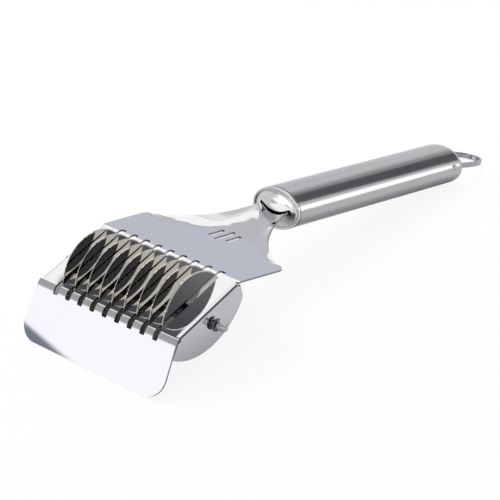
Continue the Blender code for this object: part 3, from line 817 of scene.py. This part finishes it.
for name, side in (("left_snap_ring", 1), ("right_snap_ring", -1)):
    ring = bmesh.new()
    inner = core + seat_gap
    outline = [(inner, -clip_thickness / 2), (clip_radius, -clip_thickness / 2),
               (clip_radius, clip_thickness / 2), (inner, clip_thickness / 2)]
    turn = Matrix.Rotation(clip_mouth_angle / 2, 3, "Z")
    section = ring.faces.new([ring.verts.new(turn @ Vector((radius, 0, height)))
                              for radius, height in outline])
    bmesh.ops.spin(ring, geom=[section], axis=(0, 0, 1), angle=2 * math.pi - clip_mouth_angle,
                   steps=clip_steps)
    tidy(ring)
    clip = make_object(name, ring, from_roller @ Matrix.Translation((0, 0, side * groove_place)))
    ease_edges(clip, clip_edge_round)
    hand_over(clip, spring_steel, "blade_roller",
              ["left_retaining_clip" if side > 0 else "right_retaining_clip"])

# %% [markdown]
# ## The handle
#
# The tube is oval, about 24 mm by 17 mm, so it can't be spun. A ring of edges is drawn from one
# station to the next instead: it is extruded, scaled to the next oval and moved along. The same
# helper makes the tube and the cap.

# %% Draw an oval skin over a chain of stations
handle_half_width = 0.01190
handle_half_height = 0.00848
tube_wall = 0.0006
tube_front = 0.0649
tube_back = 0.1822
tail_length = 0.0070
tail_power = 2.2
tube_steps = 8
tube_rim_round = 0.0001
oval_segments = 128
dome_steps = 16


def oval(along, inset):
    return along, handle_half_width - inset, handle_half_height - inset


def dome(foot, length, power):
    """Stations of a dome from its foot to its tip; a negative length points forwards."""
    along, half_width, half_height = foot
    stations = []
    for turn in quarter_turn(dome_steps):
        reach = math.sin(turn)
        share = max(1 - reach ** power, 0) ** (1 / power)
        stations.append((along + length * reach, half_width * share, half_height * share))
    return stations


def draw_ring(bm, edges, here, onward):
    """Extrude a ring of edges from one oval to the next."""
    grown = bmesh.ops.extrude_edge_only(bm, edges=edges)["geom"]
    verts = only("BMVert", grown)
    bmesh.ops.scale(bm, verts=verts, vec=(1, onward[1] / here[1], onward[2] / here[2]))
    bmesh.ops.translate(bm, verts=verts, vec=(onward[0] - here[0], 0, 0))
    return [edge for edge in only("BMEdge", grown)
            if all(vertex in verts for vertex in edge.verts)]


def oval_skin(stations):
    """A closed skin over ovals; its first and last station are single points."""
    first, *middle, last = stations
    along, half_width, half_height = middle[0]
    bm = bmesh.new()
    place = (Matrix.Translation((along, 0, 0)) @ Matrix.Diagonal((1, half_width, half_height, 1))
             @ Matrix.Rotation(math.pi / 2, 4, "Y"))
    bmesh.ops.create_circle(bm, cap_ends=False, segments=oval_segments, radius=1, matrix=place)
    start = ring = bm.edges[:]
    for here, onward in zip(middle, middle[1:]):
        ring = draw_ring(bm, ring, here, onward)
    for edges, tip in ((start, first), (ring, last)):
        for vertex in only("BMVert", bmesh.ops.extrude_edge_only(bm, edges=edges)["geom"]):
            vertex.co = (tip[0], 0, 0)
    tidy(bm)
    return bm


# %% [markdown]
# The tube is one wall: from the inside of its domed tail to the open front, round the rim and
# back over the outside. The loop's legs come out through two slots in the tail, cut with the
# loop's own shape and a little room round it.

# %% Path of the hanging loop
loop_strip_width = 0.0024
loop_strip_thickness = 0.0013
loop_half_width = 0.0091
loop_root_half_width = 0.0070
loop_leg_margin = 0.0032
loop_eye_width = 0.0046
loop_eye_length = 0.0022
loop_eye_taper = 0.0012
loop_leg_length = 0.0080
loop_bow_length = 0.0280
loop_bow_power = 2.4
loop_steps = 64
loop_edge_round = 0.00055
loop_round_segments = 4


def loop_path():
    """Middle line of the strip in the loop's plane, from one leg's end to the other's."""
    bow = []
    for step in range(loop_steps + 1):
        turn = math.pi * (step / loop_steps - 0.5)
        reach = abs(math.cos(turn)) ** (2 / loop_bow_power)
        across = math.copysign(abs(math.sin(turn)) ** (2 / loop_bow_power), turn)
        bow.append(Vector((loop_leg_length + loop_bow_length * reach, loop_half_width * across,
                           0)))
    leg = [Vector((along, loop_root_half_width, 0)) for along
           in (-loop_leg_margin, loop_eye_length, loop_eye_length + loop_eye_taper)]
    mirrored = [Vector((point.x, -point.y, 0)) for point in leg]
    return mirrored + bow + leg[::-1]


def strip(room):
    """The bent strip: a rectangle drawn along the path, wider at the rivet's eyes."""
    path = loop_path()
    bm = bmesh.new()
    bmesh.ops.create_grid(bm, x_segments=1, y_segments=1, size=0.5)
    section = bm.faces[:]
    for number, point in enumerate(path):
        way = (path[min(number + 1, len(path) - 1)] - path[max(number - 1, 0)]).normalized()
        taper = min(max((point.x - loop_eye_length) / loop_eye_taper, 0), 1)
        width = loop_eye_width + (loop_strip_width - loop_eye_width) * taper + 2 * room
        thickness = loop_strip_thickness + 2 * room
        if number:
            grown = bmesh.ops.extrude_face_region(bm, geom=section)["geom"]
            old, section = section, only("BMFace", grown)
            if number > 1:
                bmesh.ops.delete(bm, geom=old, context="FACES_ONLY")
        outward = Vector((way.y, -way.x, 0))
        square = ((-1, -1), (1, -1), (1, 1), (-1, 1))
        for vertex, (a, b) in zip(section[0].verts, square):
            vertex.co = point + outward * a * thickness / 2 + Vector((0, 0, b * width / 2))
    tidy(bm, merge=1e-7)
    return bm


print("loop reaches", round(max(point.x for point in loop_path()) * to_mm, 1), "mm past its rivet")

# %% Tube with its slots and rivet holes
rivet_radius = 0.0010
rivet_head_radius = 0.00128
rivet_crown = 0.0003
rivet_lift = 0.00005
rivet_rim = 0.00012
rivet_steps = 6
rivet_half_span = handle_half_width * math.sqrt(1 - (rivet_rise / handle_half_height) ** 2)

inside_tail = dome(oval(tube_back, tube_wall), tail_length - tube_wall, tail_power)
outside_tail = dome(oval(tube_back, 0), tail_length, tail_power)
along_tube = [oval(tube_front + (tube_back - tube_front) * step / tube_steps, 0)
              for step in range(tube_steps + 1)]
tube_skin = oval_skin(inside_tail[::-1] + [oval(tube_front, tube_wall)] + along_tube
                      + outside_tail[1:])
loop_room = make_object("loop_room", strip(seat_gap), from_loop)
hole = bmesh.new()
round_bar(hole, rivet_radius + seat_gap, 3 * handle_half_width, Matrix.Identity(4))
rivet_hole = make_object("rivet_hole", hole, from_loop)
tube = make_object("oval_tube", tube_skin, from_handle)
tube.data.shade_smooth()
cut_out(tube, loop_room)
cut_out(tube, rivet_hole)
ease_edges(tube, tube_rim_round)
hand_over(tube, brushed_tube, "handle_and_frame", ["handle_tube"])

# %% [markdown]
# The loop is a flat strip with rounded edges, and one rivet through both of its legs holds it in
# the tube. The strip is drilled with the same bar as the tube, so that all the holes line up.

# %% Hanging loop and rivet
loop = make_object("strip_loop", strip(0), from_loop)
cut_out(loop, rivet_hole)
ease_edges(loop, loop_edge_round, loop_round_segments)
hand_over(loop, polished_strip, "handle_and_frame", ["hanging_loop"])

head = rivet_half_span + rivet_lift
crown = [(0, head + rivet_crown)] + [
    (rivet_head_radius * math.sin(turn), head + rivet_crown * math.cos(turn))
    for turn in quarter_turn(rivet_steps)[1:]]
crown += [(rivet_head_radius, head - rivet_rim), (rivet_radius, head - rivet_rim)]
rivet_profile = crown + [(radius, -height) for radius, height in reversed(crown)]
rivet = make_object("rivet", spun(rivet_profile, small_segments, closed=False),
                    from_loop @ Matrix.Rotation(math.pi / 2, 4, "X"))
hand_over(rivet, brushed_tube, "handle_and_frame", ["loop_rivet"])
for cutter in (loop_room, rivet_hole):
    bpy.data.objects.remove(cutter)

# %% [markdown]
# The cap closes the front of the tube. Seen from outside it has a narrow bead round its edge, a
# groove inside the bead and a shallow dome nearly as wide as the tube, and its skirt sits inside
# the tube. The neck goes through a crescent slot, cut with the neck's own bent section and some
# room round it.

# %% Front cap
cap_front = 0.0623
cap_face = 0.0639
bead_start = 0.0632
bead_end = 0.0643
cap_seat = 0.0646
cap_wall = 0.0009
cap_dome_height = 0.0016
cap_face_inset = 0.0013
cap_groove_depth = 0.0004
cap_bead_width = 0.0008
cap_bead_round = 0.0003
cap_bead_steps = 5
inner_bead_share = 0.8
cap_seam_depth = 0.0006
cap_skirt_length = 0.0080
cap_slot_head_gap = 0.0008
cap_slot_end_gap = 0.0004
cap_cut_lead = 0.0020
cap_sharp_angle = math.radians(30)
slot_columns = 40

skirt_inset = tube_wall + seat_gap
skirt_end = tube_front + cap_skirt_length
inner_inset = skirt_inset + cap_wall
bead_turns = quarter_turn(cap_bead_steps)
outer_bead = [(bead_start + cap_bead_round * (1 - math.sin(turn)),
               cap_bead_round * (1 - math.cos(turn))) for turn in bead_turns]
inner_bead = [(bead_start + cap_bead_round * (1 - math.cos(turn)) * inner_bead_share,
               cap_bead_width - cap_bead_round * (1 - math.sin(turn) * inner_bead_share))
              for turn in bead_turns]
side = [(skirt_end, inner_inset), (skirt_end, skirt_inset), (cap_seat, skirt_inset),
        (cap_seat, cap_seam_depth), (bead_end, cap_seam_depth), (bead_end, 0)]
side += outer_bead + inner_bead
side.append((cap_face + cap_groove_depth, (cap_bead_width + cap_face_inset) / 2))
inside_face = dome(oval(cap_face + cap_wall, inner_inset), -cap_dome_height, 2)
outside_face = dome(oval(cap_face, cap_face_inset), -cap_dome_height, 2)
cap_skin = oval_skin(inside_face[::-1] + [oval(*station) for station in side] + outside_face)

cutter = bmesh.new()
bmesh.ops.create_grid(cutter, x_segments=1, y_segments=slot_columns, size=1)
for vertex in cutter.verts:
    share = vertex.co.y
    along = cap_front - cap_cut_lead if vertex.co.x < 0 else tube_front + cap_skirt_length / 2
    height = neck_lift(neck_length, share) - axis_height + cap_slot_head_gap
    vertex.co = (along, (tang_half_width + cap_slot_end_gap) * share, height)
crescent = make_object("crescent", cutter, from_handle)
thicken(crescent, sheet + cap_slot_head_gap + seat_gap)
cap = make_object("front_cap", cap_skin, from_handle)
cap.data.shade_smooth()
cut_out(cap, crescent)
hand_over(cap, polished_cap, "handle_and_frame", ["handle_front_cap"], cap_sharp_angle)
bpy.data.objects.remove(crescent)

# %% [markdown]
# ## Floor, studio and light
#
# Polished steel shows what stands round it, so the studio matters as much as the finishes. The
# floor is plain and pale. Light Path makes it nearly white to the camera, where it keeps a faint
# shadow, and in reflections it stays close to its own pale shading. Under the tool it is
# therefore dark, as a real one would be, and the blades and the slots show that.

# %% Floor
floor_colour = (0.69, 0.69, 0.70, 1)
floor_white_share = 0.84
floor_glossy_share = 0.02
floor_glow = 1.06
floor_half_size = 3.0
floor_drop = 0.0001
floor_bm = bmesh.new()
bmesh.ops.create_grid(floor_bm, x_segments=1, y_segments=1, size=floor_half_size)
bmesh.ops.translate(floor_bm, verts=floor_bm.verts, vec=(0, 0, -floor_drop))
floor = make_object("floor", floor_bm, Matrix.Identity(4))
paper = bpy.data.materials.new("white_paper")
wiring = Wiring(paper)
rays = "ShaderNodeLightPath"
seen = wiring.node(rays, output="Is Camera Ray") + floor_glossy_share * (
    wiring.node(rays, output="Is Glossy Ray") + wiring.node(rays, output="Is Transmission Ray"))
matt = wiring.node("ShaderNodeBsdfDiffuse", {"Color": floor_colour})
glow = wiring.node("ShaderNodeEmission", {"Color": (1, 1, 1, 1), "Strength": floor_glow})
wiring.node("ShaderNodeOutputMaterial", {"Surface": wiring.node("ShaderNodeMixShader", {
    0: seen * floor_white_share, 1: matt, 2: glow})})
floor.data.materials.append(paper)
floor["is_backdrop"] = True
print("floor", 2 * floor_half_size, "m across")

# %% [markdown]
# The world is a grey studio with cards in it. The camera sees it plain white. For everything
# else its brightness depends on the direction only. Where each card stands was worked out from
# the reflections: a mirror direction was found for each part of the tool, and the card there
# has the brightness of that part. So the bed shows one white card, the apron another, the tube
# a black card with a strip lamp beside it, and the blades a dark one. Where cards overlap, the
# later one in the list stands in front.

# %% Studio round the tool
def toward(azimuth, elevation):
    turn, lift = math.radians(azimuth), math.radians(elevation)
    return Vector((math.cos(turn) * math.cos(lift), math.sin(turn) * math.cos(lift),
                   math.sin(lift)))


world = bpy.data.worlds.new("studio")
bpy.context.scene.world = world
wiring = Wiring(world)
direction = wiring.node("ShaderNodeTexCoord", output="Generated")
fade_to_sides = 0.1


def card(azimuth, elevation, half_across, half_up, soft, roll=0):
    """1 inside a soft-edged card in that direction; its sizes are in degrees."""
    middle = toward(azimuth, elevation)
    turned = Matrix.Rotation(math.radians(roll), 3, middle)
    across = turned @ toward(azimuth + 90, 0)
    up = middle.cross(across)

    def reach(axis, half):
        size = abs(wiring.vector("DOT_PRODUCT", direction, axis))
        edge = math.sin(math.radians(half))
        blur = math.sin(math.radians(soft))
        return 1 - wiring.smooth(size, edge - blur / 2, edge + blur / 2)

    ahead = wiring.vector("DOT_PRODUCT", direction, middle)
    in_front = wiring.smooth(ahead, 0.0, fade_to_sides)
    return reach(across, half_across) * reach(up, half_up) * in_front


def grey(value, tint=1.0):
    return (value, value, value * tint, 1)


studio_cards = {
    "overhead box": (card(0, 90, 15, 15, 8), grey(1.3)),
    "grey side over the fold": (card(120, 38, 17, 16, 8), grey(0.42, 1.03)),
    "light above the flange": (card(18, 66, 10, 11, 10), grey(1.0)),
    "light beside the flange": (card(28, 50, 6, 13, 10), grey(0.85)),
    "white card over the bed": (card(49, 44, 17, 17, 2), grey(1.15, 0.99)),
    "grey corner of it": (card(43.6, 29.5, 2.9, 4.6, 1.5), grey(0.60, 1.02)),
    "grey step below it": (card(38.8, 28.0, 3.4, 2.6, 1.5), grey(0.60, 1.02)),
    "dark card beside it": (card(68.75, 49.55, 0.9, 2.3, 0.3, 28.7), grey(0.09, 1.15)),
    "narrow white card": (card(79, 52, 3.8, 5, 1), grey(1.15)),
    "white card high behind": (card(-65, 67, 9, 6, 3), grey(1.0)),
    "white card in front": (card(158, 10, 14, 13, 4), grey(1.2)),
    "white strip for the apron": (card(141, 13.7, 8, 1.75, 0.05, -5), grey(1.2, 1.03)),
    "dark strip below it": (card(140, 10.55, 7, 1.4, 0.05, -5), (0.22, 0.24, 0.30, 1)),
    "shade above both strips": (card(138.6, 23.4, 4.6, 9.3, 1.0, 16), grey(0.44, 1.03)),
    "grey wall behind": (card(46, 18, 15, 9, 5), (0.60, 0.605, 0.645, 1)),
    "blue-grey part of it": (card(36.8, 12.6, 5.0, 3.5, 5), (0.60, 0.62, 0.69, 1)),
    "dark wall": (card(-76, 34, 17, 25, 4), (0.10, 0.11, 0.13, 1)),
    "lighter patch on it": (card(-62, 48.5, 1.6, 2.2, 3), grey(0.32, 1.05)),
    "dark card high in front": (card(118, 66, 18, 10, 4), grey(0.10)),
    "shade beside the black card": (card(8, 25, 9, 14, 12), grey(0.34, 1.03)),
    "black card": (card(-6.5, 27, 12.5, 11, 5), grey(0.11, 1.1)),
    "strip lamp": (card(-34, 6, 7.3, 10.5, 3), grey(1.6)),
}
tent = grey(0.68, 1.02)
for mask, colour in studio_cards.values():
    tent = wiring.mix(mask, tent, colour)
camera_ray = wiring.node(rays, output="Is Camera Ray")
seen_tent = wiring.mix(camera_ray, tent, (1, 1, 1, 1))
wiring.node("ShaderNodeOutputWorld", {"Surface": wiring.node("ShaderNodeBackground", {
    "Color": seen_tent, "Strength": 1.0})})
print(len(studio_cards), "cards in the studio")

# %% [markdown]
# The cards light the steel. One large lamp above and behind the tool lights the matt floor, so
# that the tool casts a soft shadow. It is hidden from reflections, where it would be one more
# card.

# %% Soft lamp
lamp_size = 0.7
lamp_watts = 5.0
lamp_distance = 1.15
lamp_azimuth, lamp_elevation = 80, 60
lamp_data = bpy.data.lights.new("soft_lamp", "AREA")
lamp_data.size = lamp_size
lamp_data.energy = lamp_watts
lamp = add_object("soft_lamp", lamp_data)
lamp.location = toward(lamp_azimuth, lamp_elevation) * lamp_distance
lamp.rotation_euler = (-lamp.location).to_track_quat("-Z", "Y").to_euler()
lamp.visible_glossy = False
bpy.context.scene.view_settings.view_transform = "Standard"
print("lamp of", lamp_watts, "W at", lamp_distance, "m")

# %% [markdown]
# Last, the box of the dressed tool is printed in millimetres. The dressed tool has to stay in
# the box of the imported model.

# %% Print the dressed box and finish
low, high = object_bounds()
print("dressed box in mm", [round((b - a) * to_mm, 1) for a, b in zip(low, high)])
